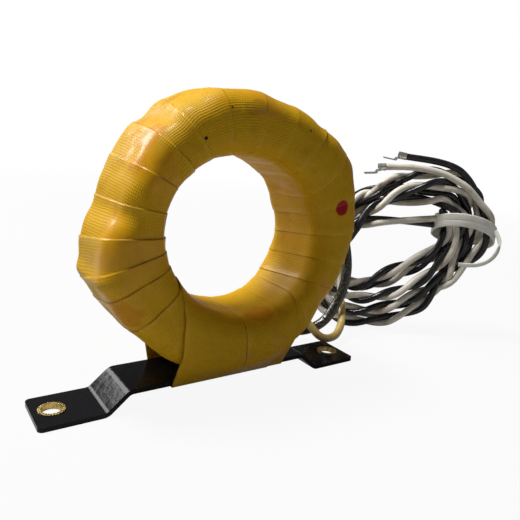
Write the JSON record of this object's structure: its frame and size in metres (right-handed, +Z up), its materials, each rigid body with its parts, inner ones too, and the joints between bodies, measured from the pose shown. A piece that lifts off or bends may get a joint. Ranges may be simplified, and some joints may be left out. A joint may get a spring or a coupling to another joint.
{
  "type": "ring current transformer",
  "caption": "Ring current transformer wound in varnished cloth tape, bound to a joggled steel mounting strap, with a tied hank of leads ending in fork terminals.",
  "frame": {"origin": "under the middle of the mounting strap, on the plane its feet stand on", "axes": "+X along the strap towards the leads, +Z up, the window's axis along Y with the leads behind at +Y"},
  "size_m": [0.2734, 0.0821, 0.1349],
  "materials": {
    "strap_black_paint": "gloss black paint on flat steel bar",
    "eyelet_brass": "bright brass",
    "varnished_tape": "yellow varnished woven cloth tape, glossy",
    "film_tape": "polyester film tape",
    "copper_wire": "enamelled copper",
    "crepe_wrap": "crepe paper build-up",
    "core_steel": "strip-wound silicon steel",
    "pressboard": "pressboard",
    "black_sleeving": "glossy black sleeving",
    "yellow_sleeving": "yellow varnished sleeving",
    "hank_plastic": "black and white insulated leads",
    "black_lead": "glossy black insulation",
    "white_lead": "off-white insulation",
    "tinned_copper": "tin plate, slightly dull",
    "tie_plastic": "off-white plastic"
  },
  "bodies": {
    "root": {"mounting_strap": "strap_black_paint", "foot_eyelet_left": "eyelet_brass", "foot_eyelet_right": "eyelet_brass", "outer_tape": "varnished_tape", "binding_tape_left": "varnished_tape", "binding_tape_right": "varnished_tape", "winding_wrap": "film_tape", "secondary_winding": "copper_wire", "core_wrap": "crepe_wrap", "wound_core": "core_steel", "core_liner_inner": "pressboard", "core_liner_outer": "pressboard", "core_end_ring_front": "pressboard", "core_end_ring_back": "pressboard", "black_sleeve": "black_sleeving", "yellow_sleeve": "yellow_sleeving", "winding_finish_tail": "copper_wire", "winding_start_tail": "copper_wire", "finish_splice": "tinned_copper", "start_splice": "tinned_copper", "lead_hank": "hank_plastic", "black_lead_entry": "black_lead", "white_lead_entry": "white_lead", "white_lead_end": "white_lead", "black_lead_end": "black_lead", "white_lead_terminal": "tinned_copper", "black_lead_terminal": "tinned_copper", "lead_tie": "tie_plastic"}
  },
  "joints": []
}
